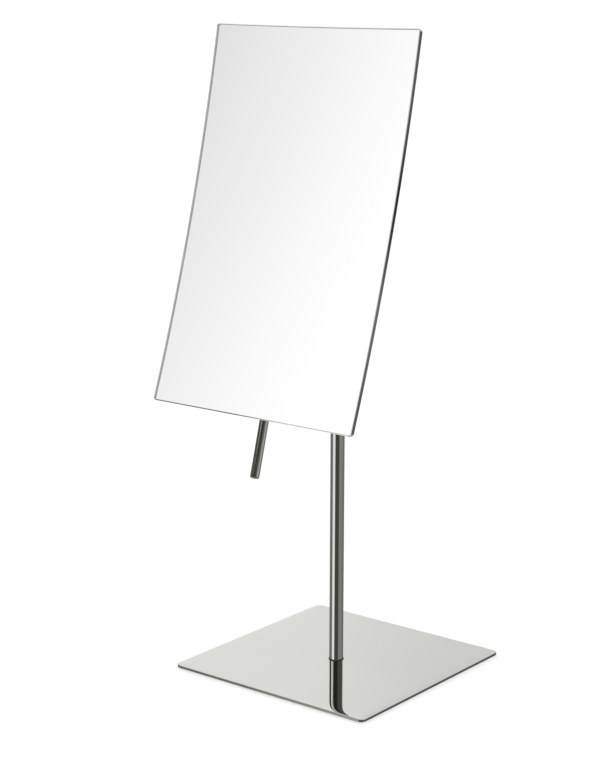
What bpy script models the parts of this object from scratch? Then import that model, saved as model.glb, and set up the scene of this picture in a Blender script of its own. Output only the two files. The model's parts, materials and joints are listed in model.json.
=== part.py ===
"""Extendable shaving mirror: a concave mirror that tilts, swivels and rises on a telescopic stem.

Metres, +Z up. The origin is the centre of the base pad's underside, and the mirror faces -Y.
The stem stands a little in front of the plate's centre. At rest the stem is pushed right down
and the mirror leans back by REST_TILT.
"""
import math

import bmesh
import bpy
from mathutils import Matrix

# ---------------------------------------------------------------- driving dimensions
GAP = 0.0001                 # space between pieces that rest on each other
PLAY = 0.0001                # radial space of a shaft in its hole
ROUND = 24                   # sides of a small turned piece
ROUND_STEM = 36              # sides of the stem tube and what runs in it

BASE_SIDE = 0.140
BASE_CORNER = 0.004
PLATE_THICK = 0.0020
PLATE_EDGE = 0.0005          # rounding of the plate's top edge
PLATE_HOLE = 0.00215         # radius of the hole for the base screw
PAD_THICK = 0.0004
PAD_INSET = 0.0006
SCREW_HEAD = 0.0036          # radius of the base screw's countersunk head
SCREW_TOP = 0.0146

STEM_Y = -0.0024
TUBE_RADIUS = 0.0042
TUBE_WALL = 0.0006
ROD_RADIUS = 0.0030
ROD_BORE_DEPTH = 0.0110
GASKET_RADIUS = 0.0046
GASKET_BORE = 0.0030
GASKET_THICK = 0.0003
PLUG_LENGTH = 0.0140
EXTENSION = 0.090            # how far the rod slides out of the tube
ROD_HELD = 0.024             # rod and piston left in the tube at full height
COLLAR_RADIUS = 0.0056
COLLAR_LENGTH = 0.0110
COLLAR_LIP = 0.0022
BUSH_LENGTH = 0.0150
BUSH_FLANGE = 0.0010
PISTON_LENGTH = 0.0100
PISTON_GROOVE = 0.0023       # radius at the bottom of the friction ring's groove
PISTON_BORE = 0.0016
SPIGOT_RADIUS = 0.0022       # the rod's upper end, on which the elbow turns
SPIGOT_BORE = 0.0013
SPIGOT_BORE_DEPTH = 0.0080

MIRROR_WIDTH = 0.1424
MIRROR_HEIGHT = 0.2200
MIRROR_CORNER = 0.0016
MIRROR_CURVE = 1.363         # radius of the concave face, twice its focal length
MIRROR_RISE = 0.2695         # deepest point of the rim's front above the plate's top
RIM_WIDTH = 0.0005
TRAY_THICK = 0.0005
TAPE_THICK = 0.0001
TAPE_INSET = 0.0080
GLASS_THICK = 0.0011
GLASS_RECESS = 0.0010        # front of the rim back to the glass
SHEET_CELLS = (8, 12)        # cells across and up that the bowed sheets are divided into
REST_TILT = math.radians(15.5)

ARM_REACH = 0.0314           # stem axis to hinge axis
HINGE_DEPTH = 0.0160         # deepest point of the rim's front to hinge axis
ARM_RADIUS = 0.0040
ELBOW_RADIUS = 0.0070
ELBOW_HALF = 0.0105          # half the elbow's height
ELBOW_WELL = 0.0048          # radius of the counterbore for the swivel screw
ELBOW_SEAT = 0.0040          # floor of the counterbore above the hinge axis
CAP_LID = 0.0014
BOSS_RADIUS = 0.0048         # flat seat on the elbow for the arm
BOSS_REACH = 0.0085
STUD_RADIUS = 0.0025
STUD_START = 0.0042          # stem axis to the end of the arm's stud
BOLT_RADIUS = 0.0020
EYE_RADIUS = 0.0065
EYE_THICK = 0.0050
EYE_NECK = 0.0034            # half the height of the eye where it meets the round arm
EAR_THICK = 0.0030
EAR_RADIUS = 0.0060
WASHER_THICK = 0.0004
DISC_RADIUS = 0.0180
DISC_THICK = 0.0018
MOUNT_TAPE_THICK = 0.0005

LEVER_RADIUS = 0.00265
LEVER_DEPTH = 0.0088         # deepest point of the rim's front to the lever's axis
LEVER_TOP = 0.0095           # hinge axis down to the lever's upper end
LEVER_END = 0.1434           # hinge axis down to the lever's tip
LEVER_EDGE = 0.0011          # rounding of the lever's tip
SOCKET_BOTTOM = 0.0190       # hinge axis down to the mouth of the lever's socket
SOCKET_TOP = 0.0068
SOCKET_HALF = 0.0052
NUT_HALF = 0.0035            # half the nut's width across its flats
NUT_THICK = 0.0030
NUT_DOME = 0.0031
CONE_WASHER_THICK = 0.0004
CONE_WASHER_RISE = 0.0003

# ---------------------------------------------------------------- derived heights
PLATE_TOP = PAD_THICK + GAP + PLATE_THICK
TUBE_FOOT = PLATE_TOP + GAP + GASKET_THICK + GAP
HINGE_Z = PLATE_TOP + MIRROR_RISE - HINGE_DEPTH * math.sin(REST_TILT)
ELBOW_BOTTOM = HINGE_Z - ELBOW_HALF
ROD_SHOULDER = ELBOW_BOTTOM - WASHER_THICK - 2 * GAP
COLLAR_TOP = ROD_SHOULDER - 3 * GAP
TUBE_TOP = COLLAR_TOP - COLLAR_LIP - BUSH_FLANGE - 2 * GAP
ROD_BOTTOM = TUBE_TOP - EXTENSION - ROD_HELD
SPIGOT_TOP = HINGE_Z + ELBOW_SEAT + 0.0006
TUBE_BORE = TUBE_RADIUS - TUBE_WALL
TRAY_DEPTH = TRAY_THICK + TAPE_THICK + GLASS_THICK + GLASS_RECESS + 2 * GAP
GLASS_FRONT = GLASS_RECESS - HINGE_DEPTH
EYE_HALF = EYE_THICK / 2
EAR_INNER = EYE_HALF + WASHER_THICK + 2 * GAP
EAR_OUTER = EAR_INNER + EAR_THICK
CONE_WASHER = CONE_WASHER_THICK + CONE_WASHER_RISE


# ---------------------------------------------------------------- helpers
def clear_scene():
    for old in list(bpy.data.objects):
        bpy.data.objects.remove(old, do_unlink=True)


def material(name, colour, roughness, metallic):
    mat = bpy.data.materials.new(name)
    mat.use_nodes = True
    shader = mat.node_tree.nodes["Principled BSDF"]
    shader.inputs["Base Color"].default_value = (*colour, 1.0)
    shader.inputs["Roughness"].default_value = roughness
    shader.inputs["Metallic"].default_value = metallic
    return mat


def add_object(name, bm, mat, parent=None, place=None):
    """Make an object from bm, facing out and smooth up to 30 degrees."""
    bmesh.ops.remove_doubles(bm, verts=bm.verts, dist=1e-7)
    bmesh.ops.recalc_face_normals(bm, faces=bm.faces)
    mesh = bpy.data.meshes.new(name)
    bm.to_mesh(mesh)
    bm.free()
    mesh.shade_smooth()
    mesh.set_sharp_from_angle(angle=math.radians(30))
    obj = bpy.data.objects.new(name, mesh)
    bpy.context.scene.collection.objects.link(obj)
    if mat:
        mesh.materials.append(mat)
    if parent:
        obj.parent = parent
    if place:
        obj.matrix_basis = place
    return obj


def add_axis(name, location, parent=None, rotation=(0, 0, 0)):
    axis = bpy.data.objects.new(name, None)
    axis.location = location
    axis.rotation_euler = rotation
    axis.parent = parent
    bpy.context.scene.collection.objects.link(axis)
    return axis


def guide(obj):
    """A shape that only cuts or joins: it isn't a piece of its own."""
    obj.hide_render = True
    obj.display_type = "WIRE"
    return obj


def boolean(obj, other, operation):
    step = obj.modifiers.new(other.name, "BOOLEAN")
    step.object = guide(other)
    step.operation = operation
    step.solver = "EXACT"


def turned_mesh(profile, sides=ROUND):
    """Turn (radius, height) points about Z. A profile that starts on the axis also ends there."""
    bm = bmesh.new()
    verts = [bm.verts.new((radius, 0, height)) for radius, height in profile]
    edges = [bm.edges.new(pair) for pair in zip(verts, verts[1:])]
    if profile[0][0] > 0:
        edges.append(bm.edges.new((verts[-1], verts[0])))
    bmesh.ops.spin(bm, geom=verts + edges, cent=(0, 0, 0), axis=(0, 0, 1),
                   angle=2 * math.pi, steps=sides, use_merge=True)
    bmesh.ops.remove_doubles(bm, verts=bm.verts, dist=1e-7)
    return bm


def extruded_mesh(outline, thick):
    """Extrude a closed outline of (x, y) points up by thick."""
    bm = bmesh.new()
    face = bm.faces.new([bm.verts.new((x, y, 0)) for x, y in outline])
    top = bmesh.ops.extrude_face_region(bm, geom=[face])["geom"]
    bmesh.ops.translate(bm, verts=[v for v in top if isinstance(v, bmesh.types.BMVert)],
                        vec=(0, 0, thick))
    return bm


def arc(centre, radius, start, end, steps):
    """Points on an arc, angles in degrees, both ends included."""
    angles = [math.radians(start + (end - start) * i / steps) for i in range(steps + 1)]
    return [(centre[0] + radius * math.cos(a), centre[1] + radius * math.sin(a)) for a in angles]


def rounded_rectangle(width, height, radius, steps=6):
    x, y = width / 2 - radius, height / 2 - radius
    corners = ((x, y, 0), (-x, y, 90), (-x, -y, 180), (x, -y, 270))
    return [p for cx, cy, turn in corners for p in arc((cx, cy), radius, turn, turn + 90, steps)]


def ring(inner, outer, bottom, thick):
    return [(inner, bottom), (outer, bottom), (outer, bottom + thick), (inner, bottom + thick)]


def rod_profile(radius, bottom, top, chamfer):
    return [(0, bottom), (radius - chamfer, bottom), (radius, bottom + chamfer),
            (radius, top - chamfer), (radius - chamfer, top), (0, top)]


def add_rod_guide(name, radius, length, parent, place, sides=ROUND):
    return add_object(name, turned_mesh(rod_profile(radius, 0, length, 0.0), sides), None, parent, place)


def socket_cut(screw, across_flats, depth, place):
    """A hexagon socket, cut into the face at the local point of place, along its +Z."""
    corner, past = across_flats / 2 / math.cos(math.radians(30)), 0.001
    key = turned_mesh([(0, -past), (corner, -past), (corner, depth), (0, depth)], 6)
    boolean(screw, add_object(screw.name + "_key", key, None, screw.parent, place), "DIFFERENCE")


ALONG_X = Matrix.Rotation(math.radians(90), 4, "Y")
TOWARDS_MINUS_Y = Matrix.Rotation(math.radians(90), 4, "X")
UPSIDE_DOWN = Matrix.Rotation(math.radians(180), 4, "X")


# ---------------------------------------------------------------- base
def make_base_pad(mat):
    side = BASE_SIDE - 2 * PAD_INSET
    add_object("base_pad", extruded_mesh(rounded_rectangle(side, side, BASE_CORNER), PAD_THICK), mat)


def make_base_plate(mat):
    bm = extruded_mesh(rounded_rectangle(BASE_SIDE, BASE_SIDE, BASE_CORNER), PLATE_THICK)
    top_edges = [e for e in bm.edges if all(v.co.z > PLATE_THICK / 2 for v in e.verts)]
    bmesh.ops.bevel(bm, geom=top_edges, offset=PLATE_EDGE, segments=3, profile=0.5, affect="EDGES")
    plate = add_object("base_plate", bm, mat, place=Matrix.Translation((0, 0, PAD_THICK + GAP)))
    past, sink = 0.001, 0.0017
    mouth = PLATE_HOLE + sink
    hole = [(0, -past), (mouth + past, -past), (PLATE_HOLE, sink), (PLATE_HOLE, PLATE_THICK + past),
            (0, PLATE_THICK + past)]
    place = Matrix.Translation((0, STEM_Y, PAD_THICK + GAP))
    boolean(plate, add_object("plate_hole", turned_mesh(hole), None, place=place), "DIFFERENCE")


def make_base_screw(mat, stem):
    bottom, shank = PAD_THICK + 2 * GAP, BOLT_RADIUS
    profile = [(0, bottom), (SCREW_HEAD, bottom), (shank, bottom + SCREW_HEAD - shank), (shank, SCREW_TOP),
               (0, SCREW_TOP)]
    screw = add_object("base_screw", turned_mesh(profile), mat, stem)
    socket_cut(screw, 0.0025, 0.0016, Matrix.Translation((0, 0, bottom)))


def make_foot_gasket(mat, stem):
    profile = ring(GASKET_BORE, GASKET_RADIUS, PLATE_TOP + GAP, GASKET_THICK)
    add_object("foot_gasket", turned_mesh(profile), mat, stem)


def make_tube_plug(mat, stem):
    profile = ring(BOLT_RADIUS + PLAY, TUBE_BORE - PLAY, TUBE_FOOT + 2 * GAP, PLUG_LENGTH)
    add_object("tube_plug", turned_mesh(profile, ROUND_STEM), mat, stem)


def make_outer_tube(mat, stem):
    profile = ring(TUBE_BORE, TUBE_RADIUS, TUBE_FOOT, TUBE_TOP - TUBE_FOOT)
    add_object("outer_tube", turned_mesh(profile, ROUND_STEM), mat, stem)


def make_guide_bush(mat, stem):
    inner, outer = ROD_RADIUS + PLAY, TUBE_BORE - PLAY
    flange_bottom = TUBE_TOP + GAP
    profile = [(inner, TUBE_TOP - BUSH_LENGTH), (outer, TUBE_TOP - BUSH_LENGTH), (outer, flange_bottom),
               (TUBE_RADIUS, flange_bottom), (TUBE_RADIUS, flange_bottom + BUSH_FLANGE),
               (inner, flange_bottom + BUSH_FLANGE)]
    add_object("guide_bush", turned_mesh(profile, ROUND_STEM), mat, stem)


def make_tube_collar(mat, stem):
    inner, outer = TUBE_RADIUS + PLAY, COLLAR_RADIUS
    bottom, lip = COLLAR_TOP - COLLAR_LENGTH, COLLAR_TOP - COLLAR_LIP
    chamfer, lip_bore = 0.0005, ROD_RADIUS + 1.5 * PLAY
    profile = [(inner, bottom), (outer - chamfer, bottom), (outer, bottom + chamfer),
               (outer, COLLAR_TOP - chamfer), (outer - chamfer, COLLAR_TOP), (lip_bore, COLLAR_TOP),
               (lip_bore, lip), (inner, lip)]
    add_object("tube_collar", turned_mesh(profile, ROUND_STEM), mat, stem)


# ---------------------------------------------------------------- telescopic rod
def make_inner_rod(mat, rod):
    bore_end, spigot_bore_end = ROD_BOTTOM + ROD_BORE_DEPTH, SPIGOT_TOP - SPIGOT_BORE_DEPTH
    profile = [(0, bore_end), (PISTON_BORE, bore_end), (PISTON_BORE, ROD_BOTTOM),
               (ROD_RADIUS, ROD_BOTTOM), (ROD_RADIUS, ROD_SHOULDER),
               (SPIGOT_RADIUS, ROD_SHOULDER), (SPIGOT_RADIUS, SPIGOT_TOP),
               (SPIGOT_BORE, SPIGOT_TOP), (SPIGOT_BORE, spigot_bore_end), (0, spigot_bore_end)]
    add_object("inner_rod", turned_mesh(profile, ROUND_STEM), mat, rod)


def make_rod_piston(mat, rod):
    top = ROD_BOTTOM - GAP
    bottom = top - PISTON_LENGTH
    outer = TUBE_BORE - PLAY
    low, high = bottom + 0.0035, bottom + 0.0048
    profile = [(PISTON_BORE, bottom), (outer, bottom), (outer, low), (PISTON_GROOVE, low),
               (PISTON_GROOVE, high), (outer, high), (outer, top), (PISTON_BORE, top)]
    add_object("rod_piston", turned_mesh(profile, ROUND_STEM), mat, rod)


def make_friction_ring(mat, rod):
    thick = 0.00054
    centre = (PISTON_GROOVE + GAP + thick, ROD_BOTTOM - GAP - PISTON_LENGTH + 0.00415)
    add_object("friction_ring", turned_mesh(arc(centre, thick, 0, 315, 7)), mat, rod)


def make_piston_screw(mat, rod):
    head, shank, edge = 0.0028, PISTON_BORE - PLAY, 0.0004
    head_top, tip = ROD_BOTTOM - 2 * GAP - PISTON_LENGTH, ROD_BOTTOM + 0.0090
    head_bottom = head_top - 0.0020
    profile = [(0, head_bottom), (head - edge, head_bottom), (head, head_bottom + edge), (head, head_top),
               (shank, head_top), (shank, tip), (0, tip)]
    screw = add_object("piston_screw", turned_mesh(profile), mat, rod)
    socket_cut(screw, 0.0020, 0.0012, Matrix.Translation((0, 0, head_bottom)))


# ---------------------------------------------------------------- swivelling neck
def make_swivel_washer(mat, neck):
    profile = ring(SPIGOT_RADIUS + PLAY, 0.0050, -ELBOW_HALF - GAP - WASHER_THICK, WASHER_THICK)
    add_object("swivel_washer", turned_mesh(profile), mat, neck)


def make_elbow(mat, neck):
    bore, edge = SPIGOT_RADIUS + PLAY, 0.0008
    profile = [(bore, -ELBOW_HALF), (ELBOW_RADIUS - edge, -ELBOW_HALF), (ELBOW_RADIUS, -ELBOW_HALF + edge),
               (ELBOW_RADIUS, ELBOW_HALF), (ELBOW_WELL, ELBOW_HALF), (ELBOW_WELL, ELBOW_SEAT),
               (bore, ELBOW_SEAT)]
    elbow = add_object("elbow", turned_mesh(profile, ROUND_STEM), mat, neck)
    root, hole_floor = 0.0050, STUD_START - 0.0005
    boss = add_rod_guide("elbow_boss", BOSS_RADIUS, BOSS_REACH - root, neck,
                         Matrix.Translation((0, -root, 0)) @ TOWARDS_MINUS_Y)
    boolean(elbow, boss, "UNION")
    hole = add_rod_guide("elbow_stud_hole", STUD_RADIUS + PLAY, BOSS_REACH, neck,
                         Matrix.Translation((0, -hole_floor, 0)) @ TOWARDS_MINUS_Y)
    boolean(elbow, hole, "DIFFERENCE")


def make_spring_washer(name, mat, parent, place, inner, outer):
    """A sprung cone washer, its wide side down."""
    profile = [(inner, CONE_WASHER_RISE), (outer, 0), (outer, CONE_WASHER_THICK), (inner, CONE_WASHER)]
    add_object(name, turned_mesh(profile), mat, parent, place)


def make_swivel_screw(mat, neck):
    under_head = ELBOW_SEAT + 2 * GAP + CONE_WASHER
    shank, head, edge = SPIGOT_BORE - PLAY, 0.0040, 0.0005
    tip, top = under_head - 0.0070, under_head + 0.0018
    profile = [(0, tip), (shank, tip), (shank, under_head), (head, under_head), (head, top - edge),
               (head - edge, top), (0, top)]
    screw = add_object("swivel_screw", turned_mesh(profile), mat, neck)
    socket_cut(screw, 0.0020, 0.0012, Matrix.Translation((0, 0, top)) @ UPSIDE_DOWN)


def make_elbow_cap(mat, neck):
    edge, plug = 0.0006, ELBOW_WELL - PLAY
    low, plug_low = ELBOW_HALF + GAP, ELBOW_HALF + GAP - 0.0020
    top = low + CAP_LID
    profile = [(0, plug_low), (plug, plug_low), (plug, low), (ELBOW_RADIUS, low),
               (ELBOW_RADIUS, top - edge), (ELBOW_RADIUS - edge, top), (0, top)]
    add_object("elbow_cap", turned_mesh(profile, ROUND_STEM), mat, neck)


def make_hinge_arm(mat, neck):
    """A turned arm with a stud at the elbow and a flat eye round the hinge axis."""
    start, end, edge = BOSS_REACH + GAP, ARM_REACH - EYE_RADIUS - 0.0010, 0.0008
    profile = [(0, STUD_START), (STUD_RADIUS, STUD_START), (STUD_RADIUS, start), (ARM_RADIUS, start),
               (ARM_RADIUS, end - edge), (ARM_RADIUS - edge, end), (0, end)]
    arm = add_object("hinge_arm", turned_mesh(profile), mat, neck, TOWARDS_MINUS_Y)
    root = end - 0.0030
    outline = [(root, -EYE_NECK), *arc((ARM_REACH, 0), EYE_RADIUS, -115, 115, 18), (root, EYE_NECK)]
    turn = Matrix(((0, 0, 1, -EYE_HALF), (-1, 0, 0, 0), (0, 1, 0, 0), (0, 0, 0, 1)))
    boolean(arm, add_object("arm_eye", extruded_mesh(outline, EYE_THICK), None, neck, turn), "UNION")
    hole = add_rod_guide("arm_eye_hole", BOLT_RADIUS + PLAY, 2 * EYE_THICK, neck,
                         Matrix.Translation((-EYE_THICK, -ARM_REACH, 0)) @ ALONG_X)
    boolean(arm, hole, "DIFFERENCE")


# ---------------------------------------------------------------- tilting head
# In the head's own frame the hinge axis is X through the origin, and -Y is the way the glass faces.
def bowed(bm):
    """Divide a flat sheet into cells and bow it, so that its edges stand towards -Y."""
    across, up = SHEET_CELLS
    for i in range(1, across):
        cut_sheet(bm, ((i / across - 0.5) * MIRROR_WIDTH, 0, 0), (1, 0, 0))
    for i in range(1, up):
        cut_sheet(bm, (0, 0, (i / up - 0.5) * MIRROR_HEIGHT), (0, 0, 1))
    for vert in bm.verts:
        vert.co.y -= (vert.co.x ** 2 + vert.co.z ** 2) / (2 * MIRROR_CURVE)
    return bm


def cut_sheet(bm, point, normal):
    everything = bm.verts[:] + bm.edges[:] + bm.faces[:]
    bmesh.ops.bisect_plane(bm, geom=everything, dist=1e-6, plane_co=point, plane_no=normal)


def upright_sheet(width, height, radius, front, thick):
    """A flat sheet in the XZ plane, its front face at y = front."""
    bm = extruded_mesh(rounded_rectangle(width, height, radius, 4), thick)
    bmesh.ops.transform(bm, matrix=Matrix.Translation((0, front + thick, 0)) @ TOWARDS_MINUS_Y,
                        verts=bm.verts)
    return bm


def make_back_tray(mat, head):
    """A shallow pressed tray: the sheet behind the glass and the rim round it."""
    bm = upright_sheet(MIRROR_WIDTH, MIRROR_HEIGHT, MIRROR_CORNER, -HINGE_DEPTH, TRAY_DEPTH)
    face = min(bm.faces, key=lambda f: f.calc_center_median().y)
    bmesh.ops.inset_region(bm, faces=[face], thickness=RIM_WIDTH, use_even_offset=True)
    floor = bmesh.ops.extrude_face_region(bm, geom=[face])["geom"]
    bmesh.ops.delete(bm, geom=[face], context="FACES_ONLY")
    bmesh.ops.translate(bm, verts=[v for v in floor if isinstance(v, bmesh.types.BMVert)],
                        vec=(0, TRAY_DEPTH - TRAY_THICK, 0))
    add_object("back_tray", bowed(bm), mat, head)


def make_mirror_glass(mat, head):
    inset = 2 * (RIM_WIDTH + GAP)
    bm = upright_sheet(MIRROR_WIDTH - inset, MIRROR_HEIGHT - inset, MIRROR_CORNER - RIM_WIDTH,
                       GLASS_FRONT, GLASS_THICK)
    add_object("mirror_glass", bowed(bm), mat, head)


def make_glass_tape(mat, head):
    bm = upright_sheet(MIRROR_WIDTH - 2 * TAPE_INSET, MIRROR_HEIGHT - 2 * TAPE_INSET, TAPE_INSET / 2,
                       GLASS_FRONT + GLASS_THICK + GAP, TAPE_THICK)
    add_object("glass_tape", bowed(bm), mat, head)


def make_bracket_pad(mat, head):
    radius = DISC_RADIUS - 0.0005
    profile = [(0, 0), (radius, 0), (radius, MOUNT_TAPE_THICK), (0, MOUNT_TAPE_THICK)]
    back = -HINGE_DEPTH + TRAY_DEPTH + GAP + MOUNT_TAPE_THICK
    add_object("bracket_pad", turned_mesh(profile), mat, head,
               Matrix.Translation((0, back, 0)) @ TOWARDS_MINUS_Y)


def make_hinge_bracket(mat, head):
    """A disc on the tray with two ears for the bolt and a socket for the lever."""
    front = -HINGE_DEPTH + TRAY_DEPTH + 2 * GAP + MOUNT_TAPE_THICK
    edge = 0.0005
    profile = [(0, 0), (DISC_RADIUS - edge, 0), (DISC_RADIUS, edge), (DISC_RADIUS, DISC_THICK),
               (0, DISC_THICK)]
    bracket = add_object("hinge_bracket", turned_mesh(profile, ROUND_STEM), mat, head,
                         Matrix.Translation((0, front + DISC_THICK, 0)) @ TOWARDS_MINUS_Y)
    root = front + DISC_THICK / 2
    foot = EAR_RADIUS + 0.0010
    ear = [(root, foot), *arc((0, 0), EAR_RADIUS, 100, -100, 16), (root, -foot)]
    for name, low in (("left_ear", -EAR_OUTER), ("right_ear", EAR_INNER)):
        side_on = Matrix(((0, 0, 1, low), (1, 0, 0, 0), (0, 1, 0, 0), (0, 0, 0, 1)))
        boolean(bracket, add_object(name, extruded_mesh(ear, EAR_THICK), None, head, side_on), "UNION")
    lever_y = LEVER_DEPTH - HINGE_DEPTH
    crown = arc((0, lever_y), SOCKET_HALF, 0, 180, 12)
    block = [(-SOCKET_HALF, root), (SOCKET_HALF, root), *crown]
    socket = add_object("lever_block", extruded_mesh(block, SOCKET_BOTTOM - SOCKET_TOP), None, head,
                        Matrix.Translation((0, 0, -SOCKET_BOTTOM)))
    boolean(bracket, socket, "UNION")
    lever_hole = add_rod_guide("lever_hole", LEVER_RADIUS + PLAY, SOCKET_BOTTOM, head,
                               Matrix.Translation((0, lever_y, -SOCKET_BOTTOM - LEVER_TOP + GAP)))
    boolean(bracket, lever_hole, "DIFFERENCE")
    bolt_hole = add_rod_guide("bolt_hole", BOLT_RADIUS + PLAY, 4 * EAR_OUTER, head,
                              Matrix.Translation((-2 * EAR_OUTER, 0, 0)) @ ALONG_X)
    boolean(bracket, bolt_hole, "DIFFERENCE")


def make_friction_washer(name, mat, head, low):
    profile = ring(BOLT_RADIUS + PLAY, EAR_RADIUS - 0.0004, 0, WASHER_THICK)
    add_object(name, turned_mesh(profile), mat, head, Matrix.Translation((low, 0, 0)) @ ALONG_X)


def make_hinge_bolt(mat, head):
    under_head = -EAR_OUTER - 2 * GAP - CONE_WASHER
    tip, head_radius, head_top = EAR_OUTER + 0.0045, 0.0037, under_head - 0.0022
    profile = [(0, tip), (BOLT_RADIUS, tip), (BOLT_RADIUS, under_head), (head_radius, under_head),
               (head_radius, head_top + 0.0006), (head_radius - 0.0008, head_top), (0, head_top)]
    bolt = add_object("hinge_bolt", turned_mesh(profile), mat, head, ALONG_X)
    socket_cut(bolt, 0.0025, 0.0014, Matrix.Translation((head_top, 0, 0)) @ ALONG_X)


def make_hinge_nut(mat, head):
    """A cap nut: a hexagon with a dome over the bolt's end."""
    start, root, past = EAR_OUTER + GAP, 0.0005, 0.001
    place = Matrix.Translation((start, 0, 0)) @ ALONG_X
    corner = NUT_HALF / math.cos(math.radians(30))
    profile = [(0, 0), (corner, 0), (corner, NUT_THICK), (0, NUT_THICK)]
    nut = add_object("hinge_nut", turned_mesh(profile, 6), mat, head, place)
    cap = [(0, root), (NUT_DOME, root), *arc((0, NUT_THICK), NUT_DOME, 0, 84, 6), (0, NUT_THICK + NUT_DOME)]
    boolean(nut, add_object("nut_dome", turned_mesh(cap), None, head, place), "UNION")
    hole = add_rod_guide("nut_hole", BOLT_RADIUS + PLAY, 0.0048 + past, head,
                         Matrix.Translation((start - past, 0, 0)) @ ALONG_X)
    boolean(nut, hole, "DIFFERENCE")


def make_tilt_lever(mat, head):
    """A straight round handle that hangs behind the glass and ends below it."""
    centre = (LEVER_RADIUS - LEVER_EDGE, LEVER_EDGE - LEVER_END)
    profile = [(0, -LEVER_END), *arc(centre, LEVER_EDGE, -90, 0, 4), (LEVER_RADIUS, -LEVER_TOP),
               (0, -LEVER_TOP)]
    add_object("tilt_lever", turned_mesh(profile), mat, head,
               Matrix.Translation((0, LEVER_DEPTH - HINGE_DEPTH, 0)))


def main():
    clear_scene()
    chrome = material("chrome", (0.78, 0.79, 0.80), 0.06, 1.0)
    steel = material("polished_steel", (0.72, 0.72, 0.70), 0.10, 1.0)
    satin = material("tray_steel", (0.60, 0.60, 0.59), 0.30, 1.0)
    zinc = material("zinc_screw", (0.62, 0.63, 0.64), 0.28, 1.0)
    brass = material("brass", (0.76, 0.58, 0.30), 0.25, 1.0)
    nylon = material("nylon", (0.82, 0.81, 0.77), 0.45, 0.0)
    rubber = material("rubber", (0.03, 0.03, 0.03), 0.75, 0.0)
    foam = material("foam_pad", (0.74, 0.74, 0.72), 0.90, 0.0)
    tape = material("tape", (0.80, 0.80, 0.78), 0.70, 0.0)
    mirror = material("silvered_glass", (0.90, 0.92, 0.92), 0.01, 1.0)

    stem = add_axis("stem_axis", (0, STEM_Y, 0))
    neck = add_axis("swivel_axis", (0, 0, HINGE_Z), stem)
    head = add_axis("tilt_axis", (0, -ARM_REACH, 0), neck, (-REST_TILT, 0, 0))

    make_base_pad(foam)
    make_base_plate(steel)
    make_base_screw(zinc, stem)
    make_foot_gasket(rubber, stem)
    make_tube_plug(brass, stem)
    make_outer_tube(chrome, stem)
    make_guide_bush(nylon, stem)
    make_tube_collar(chrome, stem)

    make_inner_rod(chrome, stem)
    make_rod_piston(nylon, stem)
    make_friction_ring(rubber, stem)
    make_piston_screw(zinc, stem)

    make_swivel_washer(nylon, neck)
    make_elbow(chrome, neck)
    seat = Matrix.Translation((0, 0, ELBOW_SEAT + GAP))
    make_spring_washer("spring_washer_swivel", zinc, neck, seat, SPIGOT_RADIUS + PLAY, 0.0042)
    make_swivel_screw(zinc, neck)
    make_elbow_cap(chrome, neck)
    make_hinge_arm(chrome, neck)

    make_back_tray(satin, head)
    make_glass_tape(tape, head)
    make_mirror_glass(mirror, head)
    make_bracket_pad(tape, head)
    make_hinge_bracket(chrome, head)
    make_friction_washer("friction_washer_left", nylon, head, -EYE_HALF - GAP - WASHER_THICK)
    make_friction_washer("friction_washer_right", nylon, head, EYE_HALF + GAP)
    outside = Matrix.Translation((-EAR_OUTER - GAP, 0, 0)) @ ALONG_X @ UPSIDE_DOWN
    make_spring_washer("spring_washer_hinge", zinc, head, outside, BOLT_RADIUS + PLAY, 0.0040)
    make_hinge_bolt(zinc, head)
    make_hinge_nut(chrome, head)
    make_tilt_lever(chrome, head)


main()
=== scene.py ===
import json
import math

import bmesh
import bpy
from mathutils import Matrix, Vector


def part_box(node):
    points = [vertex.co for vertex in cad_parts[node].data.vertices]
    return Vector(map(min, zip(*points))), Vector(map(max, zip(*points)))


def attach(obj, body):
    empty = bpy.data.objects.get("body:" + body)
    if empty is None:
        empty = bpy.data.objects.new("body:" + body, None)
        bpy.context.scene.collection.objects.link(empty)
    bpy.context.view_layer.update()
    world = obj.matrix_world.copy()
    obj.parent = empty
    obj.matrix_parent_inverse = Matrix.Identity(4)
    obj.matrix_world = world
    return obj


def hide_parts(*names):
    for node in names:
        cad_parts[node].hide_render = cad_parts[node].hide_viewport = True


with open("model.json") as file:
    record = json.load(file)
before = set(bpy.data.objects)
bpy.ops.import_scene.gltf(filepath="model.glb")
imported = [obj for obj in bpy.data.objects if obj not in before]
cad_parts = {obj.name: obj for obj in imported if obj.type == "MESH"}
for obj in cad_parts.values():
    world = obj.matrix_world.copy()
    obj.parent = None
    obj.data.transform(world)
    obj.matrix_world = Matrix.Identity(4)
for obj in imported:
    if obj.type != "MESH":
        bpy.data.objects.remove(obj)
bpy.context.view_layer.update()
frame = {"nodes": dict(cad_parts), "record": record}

JOINTS = {joint["name"]: joint for joint in frame["record"]["behaviour"]["joints"]}
HINGE = Vector(JOINTS["tilt"]["pos_m"])
NECK = Vector(JOINTS["swivel"]["pos_m"])
STEM = Vector((NECK.x, NECK.y, 0))

# ---------------------------------------------------------------- sizes
SIDES = 96                    # sides of a fine turned piece
HOLE_SIDES = 48               # sides of a small hole
ROUND_STEPS = 48              # steps round an ear or an eye
HEXAGON = 6
MERGE = 1e-7                  # points closer than this are one
OUTSIDE = 0.001               # how far before a piece a cutter starts
GAP = 0.0001                  # space between pieces that lie against each other

BASE_CORNER = 0.004
TUBE_BORE = 0.0036            # radius, as are all bores, holes and rods here
GASKET_BORE = 0.0030
COLLAR_HOLE = 0.0043          # round the tube
COLLAR_LIP_HOLE = 0.00315     # round the rod
COLLAR_LIP = 0.0022           # height of the lip that closes the tube
SPIGOT = 0.0022               # radius of the rod's upper end, in the elbow
ELBOW_RADIUS = 0.0070
BOLT = 0.0020
BOLT_HOLE = 0.0021

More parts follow.
